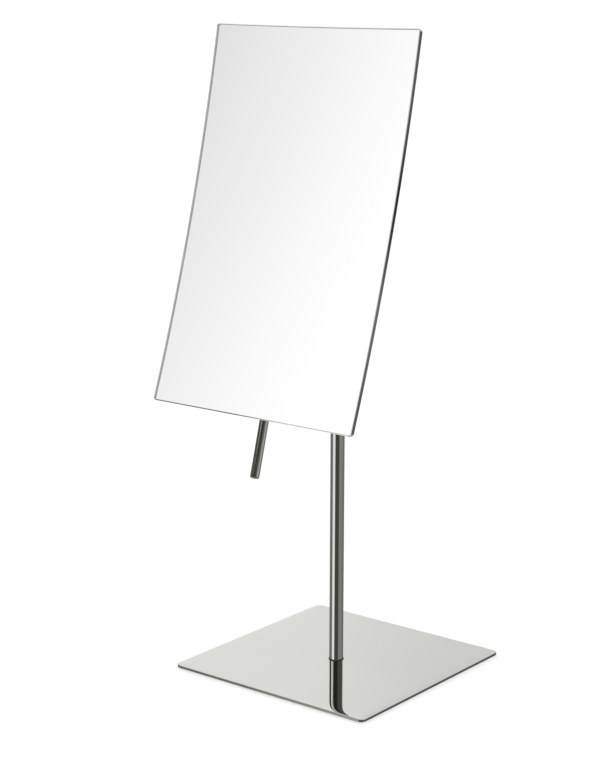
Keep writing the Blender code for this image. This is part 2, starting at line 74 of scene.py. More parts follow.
REST_TILT = math.radians(15.5)
MIRROR_CURVE = 1.363          # radius of the concave glass
MIRROR_WIDTH = 0.1424
MIRROR_HEIGHT = 0.2200
MIRROR_CORNER = 0.0016
MIRROR_CELLS = (48, 72)       # cells across and up that the bowed pieces are divided into
HINGE_DEPTH = 0.0160          # deepest point of the rim's front to the hinge axis
TRAY_DEPTH = 0.0029
TRAY_THICK = 0.0005
TRAY_FOLD = 0.0005            # rounding between the tray's back and its sides
RIM_WIDTH = 0.0005
RIM_ARRIS = 0.00006
RIM_FALL = 0.00008            # how far the rim's front slopes back to its outer edge
GLASS_THICK = 0.0011
GLASS_RECESS = 0.0010         # front of the rim back to the glass
GLASS_ARRIS = 0.00005

DISC_RADIUS = 0.0180
DISC_THICK = 0.0018
MOUNT_TAPE = 0.0007           # tape between disc and tray, with its gaps
EAR_RADIUS = 0.0060
EAR_INNER = 0.0031            # mid-plane to an ear's inner face
EAR_THICK = 0.0030
EAR_OUTER = EAR_INNER + EAR_THICK
DISC_BACK = HINGE_DEPTH - TRAY_DEPTH - MOUNT_TAPE     # hinge axis to the disc's face on the tape
SOCKET_HALF = 0.0052
SOCKET_TOP = 0.0068           # hinge axis down to the top of the lever's socket
SOCKET_BOTTOM = 0.0190
LEVER_HOLE_TOP = 0.0094
LEVER_RADIUS = 0.00265
LEVER_HOLE = 0.00275
LEVER_TOP = 0.0095            # hinge axis down to the lever's upper end
LEVER_END = 0.1434
LEVER_EDGE = 0.0011           # rounding of the lever's tip
LEVER_DEPTH = 0.0088          # deepest point of the rim's front to the lever's axis
LEVER_Y = LEVER_DEPTH - HINGE_DEPTH

# ---------------------------------------------------------------- frames
ALONG_X = Matrix.Rotation(math.radians(90), 4, "Y")
TOWARDS_MINUS_Y = Matrix.Rotation(math.radians(90), 4, "X")
HEAD = Matrix.Translation(HINGE) @ Matrix.Rotation(-REST_TILT, 4, "X")
NECK_FRAME = Matrix.Translation(NECK)
STEM_FRAME = Matrix.Translation(STEM)


# ---------------------------------------------------------------- mesh helpers
def finish_mesh(name, bm, mats, place=None, sharp=30):
    """Turn bm into a smooth object with sharp edges where faces meet at more than sharp degrees."""
    bmesh.ops.remove_doubles(bm, verts=bm.verts, dist=MERGE)
    bmesh.ops.recalc_face_normals(bm, faces=bm.faces)
    if place:
        bm.transform(place)
    mesh = bpy.data.meshes.new(name)
    bm.to_mesh(mesh)
    bm.free()
    mesh.shade_smooth()
    mesh.set_sharp_from_angle(angle=math.radians(sharp))
    obj = bpy.data.objects.new(name, mesh)
    bpy.context.scene.collection.objects.link(obj)
    for mat in mats:
        mesh.materials.append(mat)
    return obj


def turned(profile, sides=SIDES):
    """Turn (radius, height) points about Z. A profile that starts on the axis also ends there."""
    bm = bmesh.new()
    verts = [bm.verts.new((radius, 0, height)) for radius, height in profile]
    edges = [bm.edges.new(pair) for pair in zip(verts, verts[1:])]
    if profile[0][0] > 0:
        edges.append(bm.edges.new((verts[-1], verts[0])))
    bmesh.ops.spin(bm, geom=verts + edges, cent=(0, 0, 0), axis=(0, 0, 1),
                   angle=2 * math.pi, steps=sides, use_merge=True)
    bmesh.ops.remove_doubles(bm, verts=bm.verts, dist=MERGE)
    return bm


def arc(centre, radius, start, end, steps):
    """Points on an arc from start to end degrees."""
    angles = [math.radians(start + (end - start) * i / steps) for i in range(steps + 1)]
    return [(centre[0] + radius * math.cos(a), centre[1] + radius * math.sin(a)) for a in angles]


def ring(inner, outer, bottom, top, fillet, steps=4):
    """Profile of a ring with rounded outer and inner edges."""
    return [*arc((inner + fillet, bottom + fillet), fillet, 180, 270, steps),
            *arc((outer - fillet, bottom + fillet), fillet, -90, 0, steps),
            *arc((outer - fillet, top - fillet), fillet, 0, 90, steps),
            *arc((inner + fillet, top - fillet), fillet, 90, 180, steps)]


def rod_profile(radius, low, high):
    """Profile of a plain solid cylinder."""
    return [(0, low), (radius, low), (radius, high), (0, high)]


def rounded_rectangle(width, height, radius, steps):
    """Points round a rectangle with round corners."""
    x, y = width / 2 - radius, height / 2 - radius
    corners = ((x, y, 0), (-x, y, 90), (-x, -y, 180), (x, -y, 270))
    return [p for cx, cy, turn in corners for p in arc((cx, cy), radius, turn, turn + 90, steps)]


def lofted(width, depth, corner, profile, steps=10):
    """A plate from rounded outlines: profile holds (inset, height) from bottom cap to top cap."""
    smallest_corner = 0.0002
    bm = bmesh.new()
    rings = []
    for inset, height in profile:
        radius = max(corner - inset, smallest_corner)
        outline = rounded_rectangle(width - 2 * inset, depth - 2 * inset, radius, steps)
        rings.append([bm.verts.new((x, y, height)) for x, y in outline])
    for low, high in zip(rings, rings[1:]):
        for i in range(len(low)):
            j = (i + 1) % len(low)
            bm.faces.new((low[i], low[j], high[j], high[i]))
    bm.faces.new(rings[0][::-1])
    bm.faces.new(rings[-1])
    return bm


def extruded(outline, thick, edge):
    """Extrude a closed outline of (x, y) points up by thick, with its rims rounded by edge."""
    bm = bmesh.new()
    face = bm.faces.new([bm.verts.new((x, y, 0)) for x, y in outline])
    top = bmesh.ops.extrude_face_region(bm, geom=[face])["geom"]
    raised = [v for v in top if isinstance(v, bmesh.types.BMVert)]
    bmesh.ops.translate(bm, verts=raised, vec=(0, 0, thick))
    rims = [e for e in bm.edges if abs(e.verts[0].co.z - e.verts[1].co.z) < thick / 2]
    bmesh.ops.bevel(bm, geom=rims, offset=edge, segments=3, profile=0.5, affect="EDGES")
    return bm


def joined(obj, bm, place, operation):
    """Apply a Boolean of the shape in bm to obj."""
    other = finish_mesh("boolean_shape", bm, obj.data.materials[:1], place)
    step = obj.modifiers.new("join", "BOOLEAN")
    step.object = other
    step.operation = operation
    step.solver = "EXACT"
    bpy.context.view_layer.update()
    result = obj.evaluated_get(bpy.context.evaluated_depsgraph_get())
    mesh = bpy.data.meshes.new_from_object(result)
    obj.modifiers.clear()
    old, obj.data = obj.data, mesh
    bpy.data.meshes.remove(old)
    bpy.data.objects.remove(other, do_unlink=True)
    mesh.shade_smooth()
    mesh.set_sharp_from_angle(angle=math.radians(30))


def drilled(obj, radius, low, high, place, sides=HOLE_SIDES):
    """Cut a hole along place's Z axis from low to high."""
    joined(obj, turned(rod_profile(radius, low, high), sides), place, "DIFFERENCE")


def settle(obj, body, nodes):
    """Give a fine piece its body and area-weighted normals, and hide the CAD nodes it stands for."""
    weigh = obj.modifiers.new("weighted_normals", "WEIGHTED_NORMAL")
    weigh.keep_sharp = True
    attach(obj, body)
    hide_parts(*nodes)


# ---------------------------------------------------------------- materials
class Nodes:
    """A material's or world's node tree, with short ways to add nodes and links."""

    def __init__(self, tree):
        self.tree = tree

    def add(self, kind, **settings):
        """A new node of that kind."""
        node = self.tree.nodes.new(kind)
        for key, value in settings.items():
            setattr(node, key, value)
        return node

    def link(self, source, target):
        """Join an output to an input."""
        self.tree.links.new(source, target)

    def math(self, operation, *values, clamp=False):
        """A Math node of numbers and sockets."""
        node = self.add("ShaderNodeMath", operation=operation, use_clamp=clamp)
        for socket, value in zip(node.inputs, values):
            if isinstance(value, (int, float)):
                socket.default_value = value
            else:
                self.link(value, socket)
        return node.outputs[0]

    def map_range(self, value, low, high, to_low=0.0, to_high=1.0, kind="SMOOTHSTEP"):
        """A smooth or LINEAR step of value from to_low at low to to_high at high."""
        node = self.add("ShaderNodeMapRange", interpolation_type=kind)
        self.link(value, node.inputs["Value"])
        numbers = {"From Min": low, "From Max": high, "To Min": to_low, "To Max": to_high}
        for name, number in numbers.items():
            node.inputs[name].default_value = number
        return node.outputs["Result"]

    def over(self, level, value, *masks):
        """Lay a panel of brightness value over what is there already, where all the masks are 1."""
        mask = masks[0]
        for other in masks[1:]:
            mask = self.math("MULTIPLY", mask, other)
        change = self.math("MULTIPLY", mask, self.math("SUBTRACT", value, level))
        return self.math("ADD", level, change)

    def noise(self, vector, scale, detail=4.0, stretch=(1, 1, 1)):
        """Soft noise over a piece; a small factor in stretch draws it out along that axis."""
        mapping = self.add("ShaderNodeMapping")
        mapping.inputs["Scale"].default_value = stretch
        self.link(vector, mapping.inputs["Vector"])
        node = self.add("ShaderNodeTexNoise")
        node.inputs["Scale"].default_value = scale
        node.inputs["Detail"].default_value = detail
        self.link(mapping.outputs["Vector"], node.inputs["Vector"])
        return node.outputs["Fac"]

    def colours(self, factor, low, high, stops=(0.3, 0.7)):
        """A ramp between two colours."""
        node = self.add("ShaderNodeValToRGB")
        for element, stop, colour in zip(node.color_ramp.elements, stops, (low, high)):
            element.position = stop
            element.color = (*colour, 1.0)
        self.link(factor, node.inputs["Fac"])
        return node.outputs["Color"]

    def bump(self, shader, height, strength, distance):
        """Let height tilt the shader's normals."""
        node = self.add("ShaderNodeBump")
        node.inputs["Strength"].default_value = strength
        node.inputs["Distance"].default_value = distance
        self.link(height, node.inputs["Height"])
        self.link(node.outputs["Normal"], shader.inputs["Normal"])


def new_material(name, metallic):
    """A material with its nodes, its shader and the object's own coordinates."""
    mat = bpy.data.materials.new(name)
    mat.use_nodes = True
    nodes = Nodes(mat.node_tree)
    shader = mat.node_tree.nodes["Principled BSDF"]
    shader.inputs["Metallic"].default_value = metallic
    where = nodes.add("ShaderNodeTexCoord").outputs["Object"]
    return mat, nodes, shader, where


def polished_metal(name, dark, light, smooth, hazy):
    """Bright metal with a faint unevenness in its tone, and haze and wipe marks in its gloss."""
    mat, nodes, shader, where = new_material(name, 1.0)
    upright_streaks = (1.0, 1.0, 0.12)
    tone = nodes.noise(where, scale=18.0, detail=3.0)
    nodes.link(nodes.colours(tone, dark, light), shader.inputs["Base Color"])
    haze = nodes.noise(where, scale=60.0, detail=6.0)
    wipes = nodes.noise(where, scale=90.0, detail=5.0, stretch=upright_streaks)
    marks = nodes.math("MULTIPLY", haze, wipes)
    nodes.link(nodes.map_range(marks, 0.15, 0.45, smooth, hazy), shader.inputs["Roughness"])
    return mat


def brushed_metal(name, dark, light, smooth, rough):
    """Satin metal with fine upright grain."""
    mat, nodes, shader, where = new_material(name, 1.0)
    upright_grain = (1.0, 1.0, 0.02)
    lines = nodes.noise(where, scale=1500.0, detail=3.0, stretch=upright_grain)
    nodes.link(nodes.colours(lines, dark, light), shader.inputs["Base Color"])
    nodes.link(nodes.map_range(lines, 0.3, 0.7, smooth, rough), shader.inputs["Roughness"])
    nodes.bump(shader, lines, strength=0.15, distance=0.00003)
    return mat


def moulded(name, dark, light, rough, grain, depth):
    """Plastic, rubber or foam: a fine grain in the surface and a little unevenness in the colour."""
    mat, nodes, shader, where = new_material(name, 0.0)
    tone = nodes.noise(where, scale=70.0)
    nodes.link(nodes.colours(tone, dark, light), shader.inputs["Base Color"])
    speck = nodes.noise(where, grain, detail=3.0)
    spread = 0.08
    gloss = nodes.map_range(speck, 0.3, 0.7, rough - spread, rough + spread)
    nodes.link(gloss, shader.inputs["Roughness"])
    nodes.bump(shader, speck, strength=0.4, distance=depth)
    return mat


def silvered_glass(name, dark, light):
    """The mirror: bright silver, with barely visible dust haze."""
    mat, nodes, shader, where = new_material(name, 1.0)
    tone = nodes.noise(where, scale=9.0, detail=2.0)
    nodes.link(nodes.colours(tone, dark, light), shader.inputs["Base Color"])
    dust = nodes.noise(where, scale=400.0, detail=6.0)
    haze = nodes.map_range(dust, 0.55, 0.8, to_low=0.0, to_high=0.03)
    nodes.link(haze, shader.inputs["Roughness"])
    return mat


CHROME = polished_metal("chrome", (0.88, 0.88, 0.865), (0.91, 0.91, 0.895), 0.03, 0.055)
PLATE = polished_metal("plate_polish", (0.612, 0.618, 0.590), (0.630, 0.636, 0.606), 0.01, 0.035)
# Darker, hazier copy of the plate's polish for its sides and most of its upper fillet: painted shade.
PLATE_SIDE_SHADE = polished_metal("plate_side_painted_shade", (0.36, 0.365, 0.35), (0.42, 0.425, 0.41), 0.10, 0.20)
# Two copies of the rim's polish: a darker one for its outer sides, painted shade, and a lighter one for
# its front lip, painted light.
RIM_SIDE_SHADE = polished_metal("rim_side_painted_shade", (0.52, 0.53, 0.51), (0.58, 0.59, 0.57), 0.05, 0.10)
RIM_LIP_LIGHT = polished_metal("rim_lip_painted_light", (0.66, 0.67, 0.65), (0.73, 0.74, 0.72), 0.03, 0.06)
# Pale matt grey on the tray's inner wall round the glass, standing in for a light line: painted light.
RIM_INSIDE_LIGHT = moulded("rim_inside_painted_light", (0.44, 0.45, 0.42), (0.50, 0.51, 0.48), 0.50, 900.0, 0.00001)
LEVER = polished_metal("lever_polish", (0.88, 0.88, 0.86), (0.92, 0.92, 0.90), 0.05, 0.08)
# Dark, rougher copy of the lever's polish for the downward faces of its tip: painted shade.
LEVER_TIP_SHADE = polished_metal("lever_tip_painted_shade", (0.24, 0.24, 0.23), (0.30, 0.30, 0.29), 0.16, 0.24)
TRAY = brushed_metal("tray_steel", (0.46, 0.46, 0.45), (0.58, 0.58, 0.57), 0.26, 0.38)
ZINC = polished_metal("zinc", (0.55, 0.56, 0.57), (0.66, 0.67, 0.68), 0.16, 0.30)
BRASS = polished_metal("turned_brass", (0.70, 0.52, 0.26), (0.80, 0.62, 0.34), 0.18, 0.30)
NYLON = moulded("nylon", (0.70, 0.69, 0.64), (0.80, 0.79, 0.75), 0.42, 900.0, 0.00002)
RUBBER = moulded("black_rubber", (0.012, 0.012, 0.012), (0.03, 0.03, 0.03), 0.62, 1200.0, 0.00004)
FOAM = moulded("foam_pad", (0.72, 0.72, 0.70), (0.80, 0.80, 0.78), 0.85, 1500.0, 0.0001)
TAPE = moulded("mounting_tape", (0.62, 0.62, 0.60), (0.74, 0.74, 0.72), 0.70, 1500.0, 0.00005)
GLASS = silvered_glass("silvered_glass", (0.975, 0.972, 0.984), (0.985, 0.982, 0.994))


# ---------------------------------------------------------------- base
def make_plate():
    """Square plate: soft lower edge, rounded upper edge and a top that rolls off a little."""
    low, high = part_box("base_plate")
    chamfer, fillet, bottom_cap = 0.0003, 0.0005, 0.001
    fall, decay, roll, rings, crowding = 0.00020, 0.0023, 0.012, 24, 1.6
    painted_shade_slope = 0.80
    profile = [(chamfer + bottom_cap, low.z), (chamfer, low.z), (0, low.z + chamfer)]
    profile += [(fillet - x, z) for x, z in arc((0, high.z - fillet - fall), fillet, 0, 86, 6)]
    for i in range(1, rings + 1):
        reach = roll * (i / rings) ** crowding
        profile.append((fillet + reach, high.z - fall * math.exp(-reach / decay)))
    bm = lofted(high.x - low.x, high.y - low.y, BASE_CORNER, profile)
    plate = finish_mesh("base_plate_fine", bm, [PLATE, PLATE_SIDE_SHADE])
    # Faces steeper than this slope take the darker copy of the polish: painted shade. These are the sides
    # and most of the upper fillet.
    for face in plate.data.polygons:
        face.material_index = int(abs(face.normal.z) < painted_shade_slope)
    plate.visible_glossy = False
    settle(plate, "base", ["base_plate"])


def make_pad():
    """Thin foam sheet under the plate."""
    low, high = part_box("base_pad")
    edge = 0.0001
    profile = [(edge, low.z), (0, low.z + edge), (0, high.z - edge), (edge, high.z)]
    bm = lofted(high.x - low.x, high.y - low.y, BASE_CORNER, profile)
    pad = finish_mesh("base_pad_fine", bm, [FOAM])
    pad.visible_glossy = False
    settle(pad, "base", ["base_pad"])


def make_tube():
    """The stem's plain tube."""
    low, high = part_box("outer_tube")
    profile = ring(TUBE_BORE, (high.x - low.x) / 2, low.z, high.z, fillet=0.00015)
    tube = finish_mesh("outer_tube_fine", turned(profile), [CHROME], STEM_FRAME)
    settle(tube, "base", ["outer_tube"])


def make_gasket():
    """Dark ring between plate and tube."""
    low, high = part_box("foot_gasket")
    profile = ring(GASKET_BORE, (high.x - low.x) / 2, low.z, high.z, fillet=0.0002)
    gasket = finish_mesh("foot_gasket_fine", turned(profile), [RUBBER], STEM_FRAME)
    settle(gasket, "base", ["foot_gasket"])


def make_collar():
    """Ring round the tube's top, with a lip that closes in on the rod."""
    low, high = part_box("tube_collar")
    outer, fillet, edge = (high.x - low.x) / 2, 0.0005, 0.0002
    profile = [(COLLAR_HOLE, low.z),
               *arc((outer - fillet, low.z + fillet), fillet, -90, 0, 5),
               *arc((outer - fillet, high.z - fillet), fillet, 0, 90, 5),
               *arc((COLLAR_LIP_HOLE + edge, high.z - edge), edge, 90, 180, 3),
               (COLLAR_LIP_HOLE, high.z - COLLAR_LIP), (COLLAR_HOLE, high.z - COLLAR_LIP)]
    collar = finish_mesh("tube_collar_fine", turned(profile), [CHROME], STEM_FRAME)
    settle(collar, "base", ["tube_collar"])


def make_rod():
    """Rod with a screw hole in each end and a spigot at its top."""
    low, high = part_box("inner_rod")
    radius, edge = (high.x - low.x) / 2, 0.0002
    foot_hole, foot_depth, top_hole, top_depth = 0.0016, 0.011, 0.0013, 0.008
    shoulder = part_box("swivel_washer")[0].z - GAP
    profile = [(0, low.z + foot_depth), (foot_hole, low.z + foot_depth), (foot_hole, low.z),
               *arc((radius - edge, low.z + edge), edge, -90, 0, 4),
               *arc((radius - edge, shoulder - edge), edge, 0, 90, 4),
               (SPIGOT, shoulder), (SPIGOT, high.z - edge), (SPIGOT - edge, high.z), (top_hole, high.z),
               (top_hole, high.z - top_depth), (0, high.z - top_depth)]
    rod = finish_mesh("inner_rod_fine", turned(profile), [CHROME], STEM_FRAME)
    settle(rod, "rod", ["inner_rod"])


# ---------------------------------------------------------------- neck
def make_elbow():
    """Upright block with a counterbore for its screw, and a round boss in which the arm's stud sits."""
    low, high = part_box("elbow")
    bottom, top = low.z - NECK.z, high.z - NECK.z
    bore, well, seat, edge, top_edge = 0.0023, 0.0048, 0.0040, 0.0008, 0.0002
    profile = [(bore, bottom), *arc((ELBOW_RADIUS - edge, bottom + edge), edge, -90, 0, 6),
               (ELBOW_RADIUS, top - top_edge), (ELBOW_RADIUS - top_edge, top),
               (well, top), (well, seat), (bore, seat)]
    elbow = finish_mesh("elbow_fine", turned(profile), [CHROME])
    boss, reach, start, fillet = 0.0048, STEM.y - low.y, 0.0050, 0.0004
    shape = [(0, start), (boss, start),
             *arc((boss - fillet, reach - fillet), fillet, 0, 90, 4), (0, reach)]
    joined(elbow, turned(shape), TOWARDS_MINUS_Y, "UNION")
    stud_hole, hole_start, past_boss = 0.0026, 0.0037, 0.0120
    drilled(elbow, stud_hole, hole_start, past_boss, TOWARDS_MINUS_Y, SIDES)
    elbow.data.transform(NECK_FRAME)
    settle(elbow, "neck", ["elbow"])


def make_elbow_cap():
    """Push-in cap with a slightly domed lid."""
    low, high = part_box("elbow_cap")
    top, bottom = high.z - NECK.z, low.z - NECK.z
    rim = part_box("elbow")[1].z - NECK.z + GAP
    plug, edge, crown, steps = 0.0047, 0.0005, 0.0003, 6
    profile = [(0, bottom), (plug, bottom), (plug, rim), (ELBOW_RADIUS, rim),
               *arc((ELBOW_RADIUS - edge, top - crown - edge), edge, 0, 80, 5)]
    inner = profile[-1][0]
    for i in range(1, steps + 1):
        rest = 1 - i / steps
        profile.append((inner * rest, top - crown * rest ** 2))
    cap = finish_mesh("elbow_cap_fine", turned(profile), [CHROME], NECK_FRAME)
    settle(cap, "neck", ["elbow_cap"])


def make_arm():
    """Round arm with a stud at one end and a flat, drilled eye at the other."""
    reach = (HINGE - NECK).length
    radius, stud, stud_end, start, foot, nose = 0.0040, 0.0025, 0.0042, 0.0086, 0.0003, 0.0010
    eye_radius, eye_thick, eye_neck, eye_edge, eye_root = 0.0065, 0.0050, 0.0034, 0.0003, 0.0030
    before_eye, past_eye = 0.0010, 0.010
    end = reach - eye_radius - before_eye
    profile = [(0, stud_end), (stud, stud_end), (stud, start),
               *arc((radius - foot, start + foot), foot, -90, 0, 3),
               *arc((radius - nose, end - nose), nose, 0, 90, 6), (0, end)]
    arm = finish_mesh("hinge_arm_fine", turned(profile), [CHROME], TOWARDS_MINUS_Y)
    root = end - eye_root
    outline = [(root, -eye_neck), *arc((reach, 0), eye_radius, -115, 115, ROUND_STEPS), (root, eye_neck)]
    side_on = Matrix(((0, 0, 1, -eye_thick / 2), (-1, 0, 0, 0), (0, 1, 0, 0), (0, 0, 0, 1)))
    joined(arm, extruded(outline, eye_thick, eye_edge), side_on, "UNION")
    drilled(arm, BOLT_HOLE, -past_eye, past_eye, Matrix.Translation((0, -reach, 0)) @ ALONG_X)
    arm.data.transform(NECK_FRAME)
    settle(arm, "neck", ["hinge_arm"])


# ---------------------------------------------------------------- mirror head
def bow(bm):
    """Divide a flat upright sheet into cells and bow it like the glass."""
    across, upwards = Vector((1, 0, 0)), Vector((0, 0, 1))
    for count, axis, size in zip(MIRROR_CELLS, (across, upwards), (MIRROR_WIDTH, MIRROR_HEIGHT)):
        for i in range(1, count):
            geometry = bm.verts[:] + bm.edges[:] + bm.faces[:]
            point = axis * (i / count - 0.5) * size
            bmesh.ops.bisect_plane(bm, geom=geometry, dist=MERGE, plane_co=point, plane_no=axis)
    for vert in bm.verts:
        vert.co.y -= (vert.co.x ** 2 + vert.co.z ** 2) / (2 * MIRROR_CURVE)
    return bm


def upright(inset, corner, profile):
    """The mirror's outline, set in and stood up; profile heights count forwards from the hinge."""
    bm = lofted(MIRROR_WIDTH - 2 * inset, MIRROR_HEIGHT - 2 * inset, corner, profile, steps=8)
    bmesh.ops.transform(bm, matrix=TOWARDS_MINUS_Y, verts=bm.verts)
    return bm


def make_glass():
    """Bowed sheet of silvered glass, set back behind the rim."""
    front = HINGE_DEPTH - GLASS_RECESS
    profile = [(0, front - GLASS_THICK), (0, front - GLASS_ARRIS), (GLASS_ARRIS, front)]
    bm = bow(upright(RIM_WIDTH + GAP, MIRROR_CORNER - RIM_WIDTH, profile))
    glass = finish_mesh("mirror_glass_fine", bm, [GLASS], HEAD, sharp=15)
    settle(glass, "mirror_head", ["mirror_glass"])
    return glass


def make_tray():
    """Shallow tray, open to the front, whose narrow rim frames the glass."""
    front, back = HINGE_DEPTH, HINGE_DEPTH - TRAY_DEPTH
    profile = [(TRAY_FOLD - x, y) for x, y in arc((0, back + TRAY_FOLD), TRAY_FOLD, -90, 0, 4)]
    profile += [(0, front - RIM_FALL - RIM_ARRIS), (RIM_ARRIS, front - RIM_FALL),
                (RIM_WIDTH - RIM_ARRIS, front), (RIM_WIDTH, front - RIM_ARRIS),
                (RIM_WIDTH, back + TRAY_THICK)]
    bm = bow(upright(0, MIRROR_CORNER, profile))
    tray = finish_mesh("back_tray_fine", bm, [TRAY, RIM_SIDE_SHADE, RIM_LIP_LIGHT, RIM_INSIDE_LIGHT], HEAD, sharp=15)
    back_face, side_face, lip_face, inner_face = range(4)
    to_head = HEAD.inverted()
    for face in tray.data.polygons:
        normal, centre = to_head.to_3x3() @ face.normal, to_head @ face.center
        faces_inwards = normal.x * centre.x + normal.z * centre.z < 0
        # The outer sides take the darker copy of the rim's polish, painted shade. The front lip takes the
        # lighter copy and the inner wall the pale grey, both painted light.
        if normal.y > 0.8:
            face.material_index = back_face
        elif normal.y < -0.5:
            face.material_index = lip_face
        else:
            face.material_index = inner_face if faces_inwards else side_face
    settle(tray, "mirror_head", ["back_tray"])


def bracket_disc():
    """Round disc behind the tray, facing -Y."""
    edge = 0.0006
    profile = [(0, 0), *arc((DISC_RADIUS - edge, edge), edge, -90, 0, 6),
               (DISC_RADIUS, DISC_THICK), (0, DISC_THICK)]
    place = Matrix.Translation((0, DISC_THICK - DISC_BACK, 0)) @ TOWARDS_MINUS_Y
    return finish_mesh("hinge_bracket_fine", turned(profile), [CHROME], place)


def make_bracket():
    """Disc with two ears for the hinge bolt and a socket for the lever."""
    ear_edge, ear_flare, socket_edge, past_ears = 0.0004, 0.001, 0.0005, 0.015
    bracket = bracket_disc()
    root = DISC_THICK / 2 - DISC_BACK
    flare = EAR_RADIUS + ear_flare
    ear = [(root, flare), *arc((0, 0), EAR_RADIUS, 100, -100, ROUND_STEPS), (root, -flare)]
    for side in (-EAR_OUTER, EAR_INNER):
        side_on = Matrix(((0, 0, 1, side), (1, 0, 0, 0), (0, 1, 0, 0), (0, 0, 0, 1)))
        joined(bracket, extruded(ear, EAR_THICK, ear_edge), side_on, "UNION")
    socket = [(-SOCKET_HALF, root), (SOCKET_HALF, root),
              *arc((0, LEVER_Y), SOCKET_HALF, 0, 180, 32)]
    below = Matrix.Translation((0, 0, -SOCKET_BOTTOM))
    joined(bracket, extruded(socket, SOCKET_BOTTOM - SOCKET_TOP, socket_edge), below, "UNION")
    lever_axis = Matrix.Translation((0, LEVER_Y, 0))
    past_mouth = SOCKET_BOTTOM + LEVER_HOLE_TOP
    drilled(bracket, LEVER_HOLE, -past_mouth, -LEVER_HOLE_TOP, lever_axis, sides=64)
    drilled(bracket, BOLT_HOLE, -past_ears, past_ears, ALONG_X)
    bracket.data.transform(HEAD)
    settle(bracket, "mirror_head", ["hinge_bracket"])


def hexagon_corner(half_width):
    """Centre to corner of a hexagon, from half its width across the flats."""
    return half_width / math.cos(math.radians(30))


def make_bolt():
    """Round-headed bolt with a hexagon socket."""
    head, tall, edge, cheek = 0.0037, 0.0022, 0.0003, 0.25
    spring_washer, thread, key_half, key_depth = 0.0009, 0.0045, 0.00125, 0.0014
    under_head, tip = -EAR_OUTER - spring_washer, EAR_OUTER + thread
    profile = [(0, tip), (BOLT - edge, tip), (BOLT, tip - edge),
               (BOLT, under_head), (head, under_head)]
    for x, y in arc((0, 0), 1, 0, 90, 10):
        profile.append((head * x, under_head - tall * (cheek + (1 - cheek) * y)))
    profile[-1] = (0, under_head - tall)
    bolt = finish_mesh("hinge_bolt_fine", turned(profile), [ZINC], ALONG_X)
    place = Matrix.Translation((under_head - tall, 0, 0)) @ ALONG_X
    drilled(bolt, hexagon_corner(key_half), -OUTSIDE, key_depth, place, HEXAGON)
    bolt.data.transform(HEAD)
    settle(bolt, "mirror_head", ["hinge_bolt"])


def make_nut():
    """Hexagon cap nut with chamfered corners and a dome."""
    thick, half, dome, arris, overlap, hole_depth = 0.0030, 0.0035, 0.0031, 0.0001, 0.0005, 0.0048
    corner = hexagon_corner(half)
    nut = finish_mesh("hinge_nut_fine", turned(rod_profile(corner, 0, thick), HEXAGON), [CHROME])
    wide, slope = corner + 0.0003, 0.0004
    cone = [(0, 0), (half - arris, 0), (wide, slope),
            (wide, thick - slope), (half - arris, thick), (0, thick)]
    joined(nut, turned(cone), None, "INTERSECT")
    cap = [(0, overlap), (dome, overlap), *arc((0, thick), dome, 0, 84, 14), (0, thick + dome)]
    joined(nut, turned(cap), None, "UNION")
    drilled(nut, BOLT_HOLE, -OUTSIDE, hole_depth, None)
    nut.data.transform(HEAD @ Matrix.Translation((EAR_OUTER + GAP, 0, 0)) @ ALONG_X)
    settle(nut, "mirror_head", ["hinge_nut"])


def make_lever():
    """Straight rod whose downward-facing rounded tip takes a darker, rougher copy of its polish: painted
    shade.
    """
    profile = [(0, -LEVER_END),
               *arc((LEVER_RADIUS - LEVER_EDGE, LEVER_EDGE - LEVER_END), LEVER_EDGE, -90, 0, 6),
               (LEVER_RADIUS, -LEVER_TOP), (0, -LEVER_TOP)]
    place = HEAD @ Matrix.Translation((0, LEVER_Y, 0))
    lever = finish_mesh("tilt_lever_fine", turned(profile), [LEVER, LEVER_TIP_SHADE], place)
    downwards = HEAD.to_3x3() @ Vector((0, 0, -1))
    shaded_tip_slope = 0.1
    # Faces that point down past this slope take the dark copy: painted shade.
    for face in lever.data.polygons:
        face.material_index = int(face.normal.dot(downwards) > shaded_tip_slope)
    settle(lever, "mirror_head", ["tilt_lever"])


# ---------------------------------------------------------------- CAD nodes that keep their shape
def paint_nodes():
    """Give the nodes that are hidden or small their new materials."""
    finishes = {"base_screw": ZINC, "tube_plug": BRASS, "guide_bush": NYLON, "rod_piston": NYLON,
                "friction_ring": RUBBER, "piston_screw": ZINC, "swivel_screw": ZINC,
                "swivel_washer": NYLON, "spring_washer_swivel": ZINC, "spring_washer_hinge": ZINC,
                "friction_washer_left": NYLON, "friction_washer_right": NYLON,
                "bracket_pad": TAPE, "glass_tape": TAPE}
    for node, mat in finishes.items():
        for place in frame["nodes"][node].material_slots:
            place.material = mat


